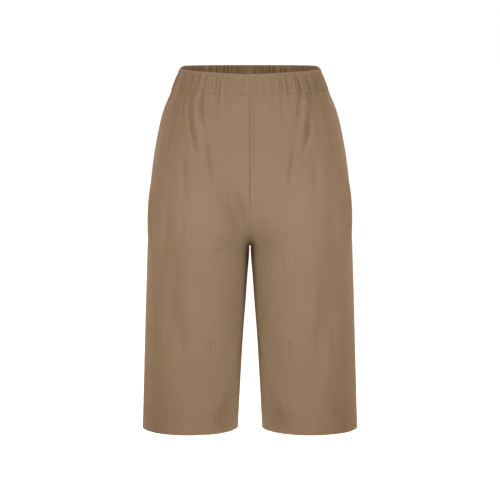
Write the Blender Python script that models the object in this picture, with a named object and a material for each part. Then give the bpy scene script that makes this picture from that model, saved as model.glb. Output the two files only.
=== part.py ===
"""Knee-length pull-on linen shorts, filled out as they are when worn, with nobody in them.

Frame, in metres: +Z is up and the front faces -Y, so +X is the wearer's left. The origin is the centre
of the waist opening, halfway up the waistband. Six pieces are cut and sewn: two front panels, two back
panels, and a waistband casing in a front and a back half. Each piece is one closed wall.

How the shape is made: the table BODY gives the one rounded section round the body at each height, and
LEG the section of each leg. Between the two, the cloth lies on the legs' sections and spans the valley
between them as a straight web, from the leg to the crotch seam, which curves down and in under the
body. Gathers and folds then push the cloth in or out along its normal, and the inner face is the outer
face moved in by the thickness of the wall.
"""

import bmesh
import bpy
import numpy as np

# Heights, measured from the middle of the waistband
WAIST_TOP = 0.018
WAIST_SEAM = -0.018
CROTCH = -0.304
HEM = -0.640

# Walls and seams
CLOTH = 0.0012          # wall of one layer of linen
BAND_WALL = 0.0030      # casing: two layers of linen with the elastic between them
HEM_WALL = 0.0026       # the panel and its turned-up hem
HEM_DEPTH = 0.034
HEM_STEP = 0.0015       # height over which the wall thickens at the top of the hem
SEAM_GAP = 0.0003       # what is left open between two pieces that are sewn together
SIDE_SEAM_FORWARD = 0.008   # the side seam runs this far in front of the widest point
BODY_ROUNDNESS = 2.45   # exponent of the body's rounded section: 2 is an ellipse, more is squarer

# Crotch seam: how high above the crotch it starts to curve in under the body, at the front and at the
# back, and the heights between which the body's section turns into the two legs with their web
CURVE_HEIGHTS = (0.105, 0.150)
LEGS_START = CROTCH + 0.150
LEGS_DONE = CROTCH + 0.010

# Edge of the waist: it dips at the centre front and rises across the back
FRONT_DIP = 0.0055
FRONT_DIP_REACH = 0.60
BACK_RISE = 0.0060
BACK_RISE_LEVEL = 0.68
EDGE_FADE = -0.200      # height below which the dip and the rise are no longer felt

MIRROR = np.array([-1.0, 1.0, 1.0])     # takes a point of the left side to the right side

# Grid of each piece
PANEL_COLUMNS = 24      # the waistband's columns stand above the panels' ones
GATHER_ROWS = 7         # rows from the waist seam down to where the crotch seam starts to curve
CURVE_ROWS = 7          # rows down that curve
LEG_ROWS = 6            # rows from the crotch down to the hem
HALF_SAMPLES = 31       # points of a section on each side of the crease line, before it is cut

# Sections, one row for each height: how far the cloth stands from the middle. BODY is the one rounded
# section round the body, and LEG is the section of a leg, which shares the body's side.
BODY = (
    # height, side, front, back
    (0.018, 0.1297, 0.0980, 0.0960),
    (-0.018, 0.1448, 0.1055, 0.1075),
    (-0.055, 0.1580, 0.1115, 0.1180),
    (-0.110, 0.1703, 0.1160, 0.1285),
    (-0.190, 0.1806, 0.1180, 0.1340),
    (-0.250, 0.1844, 0.1175, 0.1330),
    (-0.304, 0.1870, 0.1165, 0.1310),
    (-0.400, 0.1898, 0.1150, 0.1270),
    (-0.640, 0.1970, 0.1100, 0.1200),
)
LEG = (
    # height, inseam, front, back
    (-0.170, 0.0000, 0.1172, 0.1322),
    (-0.240, 0.0000, 0.1158, 0.1314),
    (-0.304, 0.0000, 0.1137, 0.1288),
    (-0.346, 0.0036, 0.1116, 0.1258),
    (-0.400, 0.0080, 0.1085, 0.1214),
    (-0.480, 0.0140, 0.1042, 0.1150),
    (-0.560, 0.0185, 0.1002, 0.1095),
    (-0.640, 0.0226, 0.0967, 0.1044),
)

# Folds of the panels. Across is a share of the panel's width, 0 at the centre seam or inseam and 1 at
# the side seam; deepest is the share of the fold's length where it is deepest; depth is negative for a
# trough and positive for a ridge.
FRONT_FOLDS = (
    # top, bottom, across at top, across at bottom, half width, deepest, depth
    (-0.018, -0.150, 0.56, 0.42, 0.0100, 0.15, -0.0045),
    (-0.018, -0.130, 0.46, 0.34, 0.0100, 0.10, 0.0025),
    (-0.018, -0.100, 0.37, 0.28, 0.0090, 0.10, -0.0025),
    (-0.018, -0.220, 0.74, 0.62, 0.0140, 0.35, -0.0035),
    (-0.120, -0.200, 0.29, 0.31, 0.0100, 0.40, -0.0018),
    (-0.060, -0.240, 0.52, 0.55, 0.0180, 0.60, 0.0022),
    (-0.200, -0.330, 0.12, 0.20, 0.0160, 0.50, -0.0030),
    (-0.340, -0.600, 0.42, 0.38, 0.0220, 0.50, -0.0018),
    (-0.400, -0.640, 0.66, 0.70, 0.0220, 0.70, 0.0018),
)
BACK_FOLDS = (
    # top, bottom, across at top, across at bottom, half width, deepest, depth
    (-0.018, -0.120, 0.22, 0.20, 0.0100, 0.10, -0.0030),
    (-0.018, -0.150, 0.40, 0.36, 0.0110, 0.10, -0.0040),
    (-0.018, -0.110, 0.58, 0.54, 0.0100, 0.12, -0.0035),
    (-0.018, -0.180, 0.76, 0.70, 0.0130, 0.20, -0.0035),
    (-0.030, -0.170, 0.49, 0.45, 0.0110, 0.30, 0.0025),
    (-0.230, -0.400, 0.16, 0.28, 0.0200, 0.50, -0.0026),
    (-0.300, -0.560, 0.40, 0.47, 0.0230, 0.40, -0.0030),
    (-0.380, -0.640, 0.68, 0.64, 0.0230, 0.60, 0.0024),
)
FOLDS = (FRONT_FOLDS, BACK_FOLDS)
EDGE_CALM = 0.022       # folds and puckers fade out over this distance from a centre or side seam

# Gathers at the waist: how many puckers lie between a centre seam and a side seam, how deep they are,
# and how far down the panels they are still felt
PUCKERS = 6
PUCKER_DEPTH = 0.0014
PUCKER_DRIFTS = (       # what spaces them unevenly
    # waves along the seam in radians, how far they move a pucker in radians of one pucker
    (3.1, 0.90),
    (7.3, 0.54),
)
PUCKER_CENTRE = 0.35    # share of the depth that is left at the centre front, where the band lies smoother
PUCKER_CENTRE_REACH = 0.55
PUCKER_FADE = 0.050

# Rows of the waistband: height, and how far the rolled edge draws both faces together there
BAND_ROWS = (
    # height, draw
    (WAIST_TOP, 0.0010),
    (WAIST_TOP - 0.0015, 0.0002),
    (WAIST_TOP - 0.0120, 0.0),
    (WAIST_SEAM, 0.0),
)

LINEN = (0.305, 0.205, 0.130, 1.0)
LINEN_GATHERED = (0.270, 0.180, 0.112, 1.0)
LINEN_ROUGHNESS = 0.85
SHARP_EDGE = 0.9        # radians


def clear_scene():
    for old in list(bpy.data.objects):
        bpy.data.objects.remove(old, do_unlink=True)


def smooth_step(share):
    """0 below 0, 1 above 1, and an S-shaped rise between them."""
    t = np.clip(share, 0.0, 1.0)
    return t * t * (3.0 - 2.0 * t)


def section_at(table, height):
    """The other columns of a table of sections at a height, on a smooth curve through its rows."""
    rows = np.array(table)[::-1]
    heights, values = rows[:, 0], rows[:, 1:]
    slopes = np.gradient(values, heights, axis=0)
    low = int(np.clip(np.searchsorted(heights, height) - 1, 0, len(heights) - 2))
    span = heights[low + 1] - heights[low]
    t = np.clip((height - heights[low]) / span, 0.0, 1.0)
    return (
        (2 * t**3 - 3 * t**2 + 1) * values[low]
        + (t**3 - 2 * t**2 + t) * span * slopes[low]
        + (3 * t**2 - 2 * t**3) * values[low + 1]
        + (t**3 - t**2) * span * slopes[low + 1]
    )


def evenly_spaced(points, count):
    """The same open curve with its points the same distance apart."""
    steps = np.linalg.norm(np.diff(points, axis=0), axis=1)
    along = np.concatenate([[0.0], np.cumsum(steps)])
    wanted = np.linspace(0.0, along[-1], count)
    return np.stack([np.interp(wanted, along, points[:, axis]) for axis in (0, 1)], axis=1)


def in_two_halves(points, crease):
    """The same curve with its points spread evenly on each side of the crease line."""
    inner = evenly_spaced(points[: crease + 1], HALF_SAMPLES)
    outer = evenly_spaced(points[crease:], HALF_SAMPLES)
    return np.concatenate([inner, outer[1:]])


def body_quarter(side, depth):
    """Section round the body from the centre to the side, as x and distance outward."""
    power = 2.0 / BODY_ROUNDNESS
    angle = np.linspace(0.0, np.pi / 2, 4 * HALF_SAMPLES)
    points = np.stack([side * np.sin(angle) ** power, depth * np.cos(angle) ** power], axis=1)
    return in_two_halves(points, int(np.searchsorted(points[:, 0], side / 2)))


def leg_half(side, inseam, depth, seam):
    """Section of a leg's front or back: a straight web from the crotch seam, seam of the depth out,
    to where it meets the leg's ellipse without a corner, and then the ellipse out to the side."""
    middle, half_width = (side + inseam) / 2, (side - inseam) / 2
    touch = 2.0 * np.arctan(seam)
    web = np.linspace(0.0, 1.0, HALF_SAMPLES)[:, None]
    start = np.array([inseam, depth * seam])
    end = np.array([middle - half_width * np.cos(touch), depth * np.sin(touch)])
    angle = np.concatenate([np.linspace(touch, np.pi / 2, HALF_SAMPLES),
                            np.linspace(np.pi / 2, np.pi, 2 * HALF_SAMPLES)[1:]])
    ellipse = np.stack([middle - half_width * np.cos(angle), depth * np.sin(angle)], axis=1)
    points = np.concatenate([start + (end - start) * web[:-1], ellipse])
    return in_two_halves(points, 2 * HALF_SAMPLES - 2)


def quarter_section(height, back):
    """Outer face at one height, from the centre seam or inseam round to the side, as x and y."""
    side, *body_depths = section_at(BODY, height)
    inseam, *leg_depths = section_at(LEG, height)
    down = np.clip((CROTCH + CURVE_HEIGHTS[back] - height) / CURVE_HEIGHTS[back], 0.0, 1.0)
    body = body_quarter(side, body_depths[back])
    leg = leg_half(side, max(inseam, 0.0), leg_depths[back], np.sqrt(1.0 - down**2))
    turned = smooth_step((LEGS_START - height) / (LEGS_START - LEGS_DONE))
    section = (1.0 - turned) * body + turned * leg
    section[:, 0] += SEAM_GAP / 2
    section[:, 1] *= 1.0 if back else -1.0
    return section


def cut_section(height, shares, back):
    """One panel's stretch of the section, cut at the given shares of its width: x, y and distance.

    A share is 0 at the centre seam or inseam, 0.5 on the leg's crease line and 1 at the side seam.
    """
    front, rear = quarter_section(height, back=False), quarter_section(height, back=True)
    around = np.concatenate([front, rear[-2::-1]])
    steps = np.linalg.norm(np.diff(around, axis=0), axis=1)
    along = np.concatenate([[0.0], np.cumsum(steps)])
    seam = along[len(front) - 1] - SIDE_SEAM_FORWARD
    if back:
        marks = (along[-1] - SEAM_GAP / 2, along[-HALF_SAMPLES], seam + SEAM_GAP / 2)
    else:
        marks = (SEAM_GAP / 2, along[HALF_SAMPLES - 1], seam - SEAM_GAP / 2)
    wanted = np.interp(shares, (0.0, 0.5, 1.0), marks)
    x = np.interp(wanted, along, around[:, 0])
    y = np.interp(wanted, along, around[:, 1])
    return x, y, np.abs(wanted - marks[0])


def edge_lift(shares, height, back):
    """How far the dip at the front or the rise at the back moves the cloth up at this height."""
    if back:
        lift = BACK_RISE * (1.0 - smooth_step((shares - BACK_RISE_LEVEL) / (1.0 - BACK_RISE_LEVEL)))
    else:
        lift = -FRONT_DIP * np.cos(np.pi / 2 * np.minimum(shares / FRONT_DIP_REACH, 1.0)) ** 2
    return lift * smooth_step((height - EDGE_FADE) / (WAIST_SEAM - EDGE_FADE))


def pucker_depth(shares, back):
    """Gathers along the waist seam, unevenly spaced, in metres outward."""
    drift = sum(moved * np.sin(waves * shares) for waves, moved in PUCKER_DRIFTS)
    nearness = smooth_step(shares / PUCKER_CENTRE_REACH)
    size = 1.0 if back else PUCKER_CENTRE + (1.0 - PUCKER_CENTRE) * nearness
    return PUCKER_DEPTH * size * np.sin(2.0 * np.pi * PUCKERS * shares + drift)


def fold_depth(shares, distances, height, back):
    """Sum of the folds at one height, in metres outward."""
    total = np.zeros_like(shares)
    for top, bottom, across_top, across_bottom, half_width, deepest, depth in FOLDS[back]:
        if not bottom < height <= top:
            continue
        down = (top - height) / (top - bottom)
        middle = np.interp(across_top + (across_bottom - across_top) * down, shares, distances)
        rise = smooth_step(down / deepest) if top < WAIST_SEAM else 1.0
        along = rise * smooth_step((1.0 - down) / (1.0 - deepest))
        total += depth * along * np.exp(-(((distances - middle) / half_width) ** 2))
    return total


def cloth_depth(shares, distances, height, back):
    """Puckers and folds together: the band's lower edge follows the panels, and seams stay calm."""
    below = (WAIST_SEAM - height) / PUCKER_FADE
    above = (height - WAIST_SEAM) / (WAIST_TOP - WAIST_SEAM)
    puckers = pucker_depth(shares, back) * (1.0 - smooth_step(below))
    folds = fold_depth(shares, distances, min(height, WAIST_SEAM), back) * (1.0 - smooth_step(above))
    from_side = distances[-1] - distances
    calm = smooth_step(distances / EDGE_CALM) * smooth_step(from_side / EDGE_CALM)
    return (puckers + folds) * calm


def outward_normals(points, back):
    """Unit normals of a grid of points, averaged from its faces, pointing away from the wearer."""
    down = np.diff(points, axis=0)
    across = np.diff(points, axis=1)
    faces = np.cross(across[:-1] + across[1:], down[:, :-1] + down[:, 1:])
    normals = np.zeros_like(points)
    for row in (slice(None, -1), slice(1, None)):
        for column in (slice(None, -1), slice(1, None)):
            normals[row, column] += faces
    turned = 1.0 if back else -1.0
    return turned * normals / np.linalg.norm(normals, axis=2, keepdims=True)


def panel_heights():
    """Heights of a panel's rows: close down the gathers, the crotch curve and the hem, wide down the leg."""
    top = WAIST_SEAM - SEAM_GAP
    curve_top = CROTCH + CURVE_HEIGHTS[0]
    gathers = np.linspace(top, curve_top, GATHER_ROWS)
    curve = curve_top - CURVE_HEIGHTS[0] * np.sin(np.linspace(0.0, np.pi / 2, CURVE_ROWS + 1))[1:]
    hem_top = HEM + HEM_DEPTH
    leg = np.linspace(CROTCH, hem_top + HEM_STEP, LEG_ROWS + 1)[1:]
    return np.concatenate([gathers, curve, leg, [hem_top, HEM]])


def panel_wall(heights):
    """Thickness of the wall at each row: the hem is folded up inside the leg."""
    hem = smooth_step((HEM + HEM_DEPTH + HEM_STEP - heights) / HEM_STEP)
    return CLOTH + (HEM_WALL - CLOTH) * hem


def panel_grids(back):
    """Outer and inner face of the left front or left back panel, as grids of points."""
    heights = panel_heights()
    shares = np.linspace(0.0, 1.0, PANEL_COLUMNS)
    outer = np.zeros((len(heights), len(shares), 3))
    depths = np.zeros((len(heights), len(shares)))
    for row, height in enumerate(heights):
        x, y, distances = cut_section(height, shares, back)
        outer[row] = np.stack([x, y, height + edge_lift(shares, height, back)], axis=1)
        depths[row] = cloth_depth(shares, distances, height, back)
    normals = outward_normals(outer, back)
    normals[[0, -1], :, 2] = 0.0    # the waist seam and the hem keep their level
    outer += normals * depths[:, :, None]
    inner = outer - normals * panel_wall(heights)[:, None, None]
    # the wall stops at the plane of each seam: centre seam and inseam, then side seam
    facing = 1.0 if back else -1.0
    limits = np.where(shares < 0.5, facing * SEAM_GAP / 2, outer[:, -1:, 1])
    inner[:, :, 0] = np.maximum(inner[:, :, 0], outer[:, :1, 0])
    inner[:, :, 1] = facing * np.maximum(facing * inner[:, :, 1], facing * limits)
    return outer, inner


def band_grids(back):
    """Outer and inner face of one half of the waistband, from the right side seam to the left one."""
    shares = np.linspace(0.0, 1.0, PANEL_COLUMNS)
    outer = np.zeros((len(BAND_ROWS), 2 * PANEL_COLUMNS - 1, 3))
    depths = np.zeros(outer.shape[:2])
    for row, (height, _) in enumerate(BAND_ROWS):
        x, y, distances = cut_section(height, shares, back)
        x[0] = 0.0
        left = np.stack([x, y, height + edge_lift(shares, height, back)], axis=1)
        outer[row] = np.concatenate([left[:0:-1] * MIRROR, left])
        depth = cloth_depth(shares, distances, height, back)
        depths[row] = np.concatenate([depth[:0:-1], depth])
    normals = outward_normals(outer, back)
    normals[:, :, 2] = 0.0
    rolled = np.array([roll for _, roll in BAND_ROWS])[:, None, None]
    outer += normals * depths[:, :, None]
    inner = outer - normals * (BAND_WALL - rolled)
    return outer - normals * rolled, inner


def mirrored(grids):
    return [grid * MIRROR for grid in grids]


def linen(name, colour):
    material = bpy.data.materials.new(name + "_linen")
    material.use_nodes = True
    shader = material.node_tree.nodes["Principled BSDF"]
    shader.inputs["Base Color"].default_value = colour
    shader.inputs["Roughness"].default_value = LINEN_ROUGHNESS
    shader.inputs["Metallic"].default_value = 0.0
    return material


def closed_wall(name, grids, colour):
    """Object for one piece: two matching grids of points, joined all round their borders."""
    outer, inner = grids
    rows, columns = outer.shape[:2]
    shape = bmesh.new()
    sheets = [[[shape.verts.new(point) for point in row] for row in grid] for grid in (outer, inner)]
    for sheet in sheets:
        for upper, lower in zip(sheet, sheet[1:]):
            for column in range(columns - 1):
                shape.faces.new((upper[column], upper[column + 1], lower[column + 1], lower[column]))
    border = [(0, c) for c in range(columns)] + [(r, columns - 1) for r in range(1, rows)]
    border += [(rows - 1, c) for c in range(columns - 2, -1, -1)] + [(r, 0) for r in range(rows - 2, 0, -1)]
    for (row, column), (next_row, next_column) in zip(border, border[1:] + border[:1]):
        shape.faces.new((
            sheets[0][row][column],
            sheets[0][next_row][next_column],
            sheets[1][next_row][next_column],
            sheets[1][row][column],
        ))
    bmesh.ops.recalc_face_normals(shape, faces=shape.faces)
    mesh = bpy.data.meshes.new(name)
    shape.to_mesh(mesh)
    shape.free()
    mesh.shade_smooth()
    mesh.set_sharp_from_angle(angle=SHARP_EDGE)
    mesh.materials.append(linen(name, colour))
    piece = bpy.data.objects.new(name, mesh)
    bpy.context.scene.collection.objects.link(piece)
    return piece


def make_shorts():
    shorts = bpy.data.objects.new("shorts", None)
    bpy.context.scene.collection.objects.link(shorts)
    pieces = []
    for face, back in (("front", False), ("back", True)):
        panel = panel_grids(back)
        pieces.append(closed_wall(face + "_left", panel, LINEN))
        pieces.append(closed_wall(face + "_right", mirrored(panel), LINEN))
        pieces.append(closed_wall("waistband_" + face, band_grids(back), LINEN_GATHERED))
    for piece in pieces:
        piece.parent = shorts


clear_scene()
make_shorts()
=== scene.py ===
# %% [markdown]
# # Linen shorts, filled out with nobody in them
#
# These are pull-on shorts to the knee, cut from plain-weave linen: two front panels, two back panels
# and a waistband with elastic in it. The simple solids of the part are already made, and this lesson
# dresses them: each piece becomes a thin sheet of cloth with its gathers, folds, seams and stitches.
#
# The first cell loads those solids as a fixed frame, and a helper reads the box of any of them.

import math

import bpy
import numpy as np
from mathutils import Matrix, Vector


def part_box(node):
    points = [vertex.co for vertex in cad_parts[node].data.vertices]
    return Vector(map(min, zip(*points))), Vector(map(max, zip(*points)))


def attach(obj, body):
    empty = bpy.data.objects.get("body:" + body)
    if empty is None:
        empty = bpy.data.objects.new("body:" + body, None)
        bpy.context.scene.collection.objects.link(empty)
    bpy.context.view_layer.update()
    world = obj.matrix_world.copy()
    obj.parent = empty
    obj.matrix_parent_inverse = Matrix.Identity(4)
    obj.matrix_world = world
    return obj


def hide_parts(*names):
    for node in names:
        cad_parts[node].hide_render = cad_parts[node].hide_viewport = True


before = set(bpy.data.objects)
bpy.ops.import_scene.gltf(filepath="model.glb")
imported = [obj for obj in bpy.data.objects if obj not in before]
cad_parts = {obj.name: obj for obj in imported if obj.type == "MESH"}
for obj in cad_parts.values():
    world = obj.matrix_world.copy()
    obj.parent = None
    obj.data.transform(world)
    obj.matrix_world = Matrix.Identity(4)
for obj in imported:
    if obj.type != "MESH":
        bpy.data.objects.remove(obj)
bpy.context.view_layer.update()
print("solids:", sorted(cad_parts))

# %% [markdown]
# ## The heights of the garment
#
# A pattern maker works from a few heights: waist, hips, crotch and hem. The hem is read from the solids.
# The others have the values that the solids were drawn with, which keeps the cloth where they are.
# Everything is in metres, with the origin in the middle of the waistband, and the front faces -Y.

# %% Heights and seams
WAIST_TOP = 0.018
WAIST_SEAM = -0.018
CROTCH = -0.304
HIPS = -0.190
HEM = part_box("front_left")[0][2]
HEM_DEPTH = 0.034
SIDE_SEAM_FORWARD = 0.008  # the side seam runs this far in front of the widest point
LEFT, RIGHT = 1.0, -1.0  # the wearer's sides, as signs of x
FRONT, BACK = False, True  # these also pick the first or the second of two values
HANDS = {"left": LEFT, "right": RIGHT}
FACES = {"front": FRONT, "back": BACK}
print(f"from the waist seam to the hem: {WAIST_SEAM - HEM:.3f} m")

# %% [markdown]
# ## Sections of the body and of a leg
#
# Shorts that are filled out are one rounded tube round the body that turns into two tubes, one for each
# leg. One way to make them is to sculpt, but then a size can't be changed later. Here they are made the
# way a ship's hull is drawn: a short table of sections, and one smooth curve through its rows.
#
# `BODY_ROUNDNESS` is the exponent of the body's section: 2 would be an ellipse, and more is squarer.
# Above the hips the sections are 1 to 4 mm narrower than the solids, because the puckers and folds
# that come later stand out from them by about as much.

# %% Tables of sections
BODY_ROUNDNESS = 2.45
BODY = (
    # height, side, front, back: how far the cloth stands from the middle
    (0.018, 0.1274, 0.0980, 0.0960),
    (-0.018, 0.1406, 0.1055, 0.1075),
    (-0.055, 0.1560, 0.1115, 0.1180),
    (-0.110, 0.1694, 0.1160, 0.1285),
    (-0.190, 0.1806, 0.1180, 0.1340),
    (-0.250, 0.1844, 0.1175, 0.1330),
    (-0.304, 0.1870, 0.1165, 0.1310),
    (-0.400, 0.1898, 0.1150, 0.1270),
    (-0.640, 0.1970, 0.1100, 0.1200),
)
LEG = (
    # height, inseam, front, back
    (-0.170, 0.0000, 0.1172, 0.1322),
    (-0.240, 0.0000, 0.1158, 0.1314),
    (-0.304, 0.0000, 0.1137, 0.1288),
    (-0.346, 0.0036, 0.1116, 0.1258),
    (-0.400, 0.0080, 0.1085, 0.1214),
    (-0.480, 0.0140, 0.1042, 0.1150),
    (-0.560, 0.0185, 0.1002, 0.1095),
    (-0.640, 0.0226, 0.0967, 0.1044),
)


def smooth_step(share):
    """0 below 0, 1 above 1, and an S-shaped rise between them."""
    t = np.clip(share, 0.0, 1.0)
    return t * t * (3.0 - 2.0 * t)


def section_at(table, height):
    """The other columns of a table at a height, on a smooth curve through its rows."""
    rows = np.array(table)[::-1]
    heights, values = rows[:, 0], rows[:, 1:]
    slopes = np.gradient(values, heights, axis=0)
    low = int(np.clip(np.searchsorted(heights, height) - 1, 0, len(heights) - 2))
    span = heights[low + 1] - heights[low]
    t = np.clip((height - heights[low]) / span, 0.0, 1.0)
    return (
        (2 * t**3 - 3 * t**2 + 1) * values[low]
        + (t**3 - 2 * t**2 + t) * span * slopes[low]
        + (3 * t**2 - 2 * t**3) * values[low + 1]
        + (t**3 - t**2) * span * slopes[low + 1]
    )


print("half width at the hips:", round(float(section_at(BODY, HIPS)[0]), 4))

# %% [markdown]
# ## From one tube to two
#
# The crotch is the hard part of any pair of shorts. The centre seam runs down the front, curves in under
# the body and comes up again at the back, and the inside leg seams start from its lowest point. Between
# that curve and the roundness of each leg the cloth spans as a straight web. `leg_half` draws the web
# up to the point where it meets the leg's ellipse without a corner, and the sections of body and legs
# are then blended over some 15 cm.

# %% Sections at any height
CURVE_HEIGHTS = (0.105, 0.150)  # how high above the crotch the seam starts to curve in: front, back
LEGS_START = CROTCH + 0.150
LEGS_DONE = CROTCH + 0.010
HALF_SAMPLES = 160  # points of a section on each side of the leg's crease line


def distances_along(points):
    """How far each point of a line is from its first one, measured along the line."""
    steps = np.linalg.norm(np.diff(points, axis=0), axis=1)
    return np.concatenate([[0.0], np.cumsum(steps)])


def places_on(line, along, wanted):
    """The points of a line at the wanted distances, where along holds the distances of its own."""
    return np.stack([np.interp(wanted, along, column) for column in line.T], axis=1)


def evenly_spaced(points, count):
    """The same open curve with its points the same distance apart."""
    along = distances_along(points)
    return places_on(points, along, np.linspace(0.0, along[-1], count))


def in_two_halves(points, crease):
    """The same curve with its points spread evenly on each side of the crease line."""
    inner = evenly_spaced(points[: crease + 1], HALF_SAMPLES)
    outer = evenly_spaced(points[crease:], HALF_SAMPLES)
    return np.concatenate([inner, outer[1:]])


def body_quarter(side, depth):
    """Section round the body from the centre to the side, as x and distance outward."""
    power = 2.0 / BODY_ROUNDNESS
    angle = np.linspace(0.0, math.pi / 2, 4 * HALF_SAMPLES)
    x = side * np.sin(angle) ** power
    points = np.stack([x, depth * np.cos(angle) ** power], axis=1)
    return in_two_halves(points, int(np.searchsorted(x, side / 2)))


def leg_half(side, inseam, depth, seam):
    """Section of a leg's front or back, with its web to a seam that stands seam times the depth out."""
    middle, half_width = (side + inseam) / 2, (side - inseam) / 2
    touch = 2.0 * np.arctan(seam)
    web = np.linspace(0.0, 1.0, HALF_SAMPLES)[:, None]
    start = np.array([inseam, depth * seam])
    end = np.array([middle - half_width * np.cos(touch), depth * np.sin(touch)])
    inner_angle = np.linspace(touch, math.pi / 2, HALF_SAMPLES)
    outer_angle = np.linspace(math.pi / 2, math.pi, 2 * HALF_SAMPLES)[1:]
    angle = np.concatenate([inner_angle, outer_angle])
    ellipse = np.stack([middle - half_width * np.cos(angle), depth * np.sin(angle)], axis=1)
    points = np.concatenate([start + (end - start) * web[:-1], ellipse])
    return in_two_halves(points, 2 * HALF_SAMPLES - 2)


def quarter_section(height, back):
    """The cloth at one height, from the centre seam or inseam round to the side, as x and y."""
    side, *body_depths = section_at(BODY, height)
    inseam, *leg_depths = section_at(LEG, height)
    rise = CURVE_HEIGHTS[back]
    down = np.clip((CROTCH + rise - height) / rise, 0.0, 1.0)
    body = body_quarter(side, body_depths[back])
    leg = leg_half(side, max(inseam, 0.0), leg_depths[back], np.sqrt(1.0 - down**2))
    turned = smooth_step((LEGS_START - height) / (LEGS_START - LEGS_DONE))
    section = (1.0 - turned) * body + turned * leg
    section[:, 1] *= 1.0 if back else -1.0
    return section


def cut_section(height, shares, back):
    """One panel's stretch of the section at the given shares of its width: x, y and distance.

    A share is 0 at the centre seam or inseam, 0.5 on the crease line and 1 at the side seam.
    """
    front, rear = quarter_section(height, FRONT), quarter_section(height, BACK)
    around = np.concatenate([front, rear[-2::-1]])
    along = distances_along(around)
    seam = along[len(front) - 1] - SIDE_SEAM_FORWARD
    if back:
        marks = (along[-1], along[-HALF_SAMPLES], seam)
    else:
        marks = (0.0, along[HALF_SAMPLES - 1], seam)
    wanted = np.interp(shares, (0.0, 0.5, 1.0), marks)
    x, y = places_on(around, along, wanted).T
    return x, y, np.abs(wanted - marks[0])


for name, height in (("waist", WAIST_SEAM), ("crotch", CROTCH), ("hem", HEM)):
    width = cut_section(height, np.array([1.0]), FRONT)[2][0]
    print(f"width of a front panel at the {name}: {width:.3f} m")

# %% [markdown]
# ## A net of points for each panel
#
# A piece of cloth is easiest to shape as a net: rows run across at one height and columns run down.
# Folds need a point about every 2 mm, and seams need them closer, so the columns crowd together at both
# edges of the panel and the rows at its top and bottom.

# %% The net of a panel
EDGE_STEPS = np.array([0.0, 0.0025, 0.0050, 0.0080, 0.0115, 0.0155, 0.0200])  # shares of the width
PANEL_COLUMNS = 132
ROW_STEP = 0.0023
EDGE_ROWS = np.array([0.0, 0.0005, 0.0010, 0.0016, 0.0024, 0.0034])  # metres from the seam or the hem

FRONT_DIP = 0.0074  # the waist dips at the centre front
FRONT_DIP_POWER = 1.3  # more than 1 makes the dip narrower
BACK_RISE = 0.0046  # and rises across the back
BACK_RISE_LEVEL = 0.80  # as far out as this share of the width
EDGE_FADE = -0.200  # the height where neither moves the cloth any more


def panel_shares():
    """The columns of a net, as shares of the panel's width."""
    middle = np.linspace(EDGE_STEPS[-1], 1.0 - EDGE_STEPS[-1], PANEL_COLUMNS)
    return np.concatenate([EDGE_STEPS[:-1], middle, 1.0 - EDGE_STEPS[-2::-1]])


def panel_heights():
    """The rows of a net, as heights."""
    count = int(round((WAIST_SEAM - HEM - 2 * EDGE_ROWS[-1]) / ROW_STEP))
    middle = np.linspace(WAIST_SEAM - EDGE_ROWS[-1], HEM + EDGE_ROWS[-1], count)
    return np.concatenate([WAIST_SEAM - EDGE_ROWS[:-1], middle, HEM + EDGE_ROWS[-2::-1]])


def edge_lift(shares, height, back):
    """How far the dip at the front or the rise at the back moves the cloth up at this height."""
    if back:
        lift = BACK_RISE * (1.0 - smooth_step((shares - BACK_RISE_LEVEL) / (1.0 - BACK_RISE_LEVEL)))
    else:
        lift = -FRONT_DIP * np.maximum(np.cos(math.pi / 2 * shares), 0.0) ** FRONT_DIP_POWER
    return lift * smooth_step((height - EDGE_FADE) / (WAIST_SEAM - EDGE_FADE))


def smooth_net(heights, shares, back):
    """Points of the panel before it has any fold, and how far each is from the centre seam."""
    points = np.zeros((len(heights), len(shares), 3))
    distances = np.zeros((len(heights), len(shares)))
    for row, height in enumerate(heights):
        x, y, distances[row] = cut_section(height, shares, back)
        points[row] = np.stack([x, y, height + edge_lift(shares, height, back)], axis=1)
    return points, distances


def row_at(height):
    """The row of a net that lies nearest to a height."""
    return int(np.argmin(np.abs(HEIGHTS - height)))


SHARES = panel_shares()
HEIGHTS = panel_heights()
print("net of a panel:", len(HEIGHTS), "rows by", len(SHARES), "columns")

# %% [markdown]
# ## Letting the cloth settle at the crotch
#
# Drawn sections leave a faint ridge where the web ends, and real linen never keeps a ridge there: it
# bridges the hollow. Moving each point a little towards the middle of its four neighbours, many times,
# does the same. Points on a seam stay where they are, so that the panels still meet.

# %% Settle the net
SETTLE_TOP = -0.215
SETTLE_BOTTOM = -0.400
SETTLE_FADE = 0.040
SETTLE_ROUNDS = 90
SETTLE_PULL = 0.8  # how far a point moves in one round, 1 being right into the middle


def settled(points):
    """The net with every point of its crotch drawn towards its neighbours."""
    heights = points[:, :1, 2]
    strength = smooth_step((SETTLE_TOP - heights) / SETTLE_FADE)
    strength = strength * smooth_step((heights - SETTLE_BOTTOM) / SETTLE_FADE)
    strength = strength[1:-1, :, None]
    calm = points.copy()
    for _ in range(SETTLE_ROUNDS):
        around = calm[2:, 1:-1] + calm[:-2, 1:-1] + calm[1:-1, 2:] + calm[1:-1, :-2]
        calm[1:-1, 1:-1] += SETTLE_PULL * strength * (around / 4.0 - calm[1:-1, 1:-1])
    return calm


def outward_normals(points, back):
    """Unit normals of a net, averaged from its faces, pointing away from the wearer."""
    down = np.diff(points, axis=0)
    across = np.diff(points, axis=1)
    faces = np.cross(across[:-1] + across[1:], down[:, :-1] + down[:, 1:])
    normals = np.zeros_like(points)
    for row in (slice(None, -1), slice(1, None)):
        for column in (slice(None, -1), slice(1, None)):
            normals[row, column] += faces
    turned = 1.0 if back else -1.0
    return turned * normals / np.linalg.norm(normals, axis=2, keepdims=True)


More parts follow.
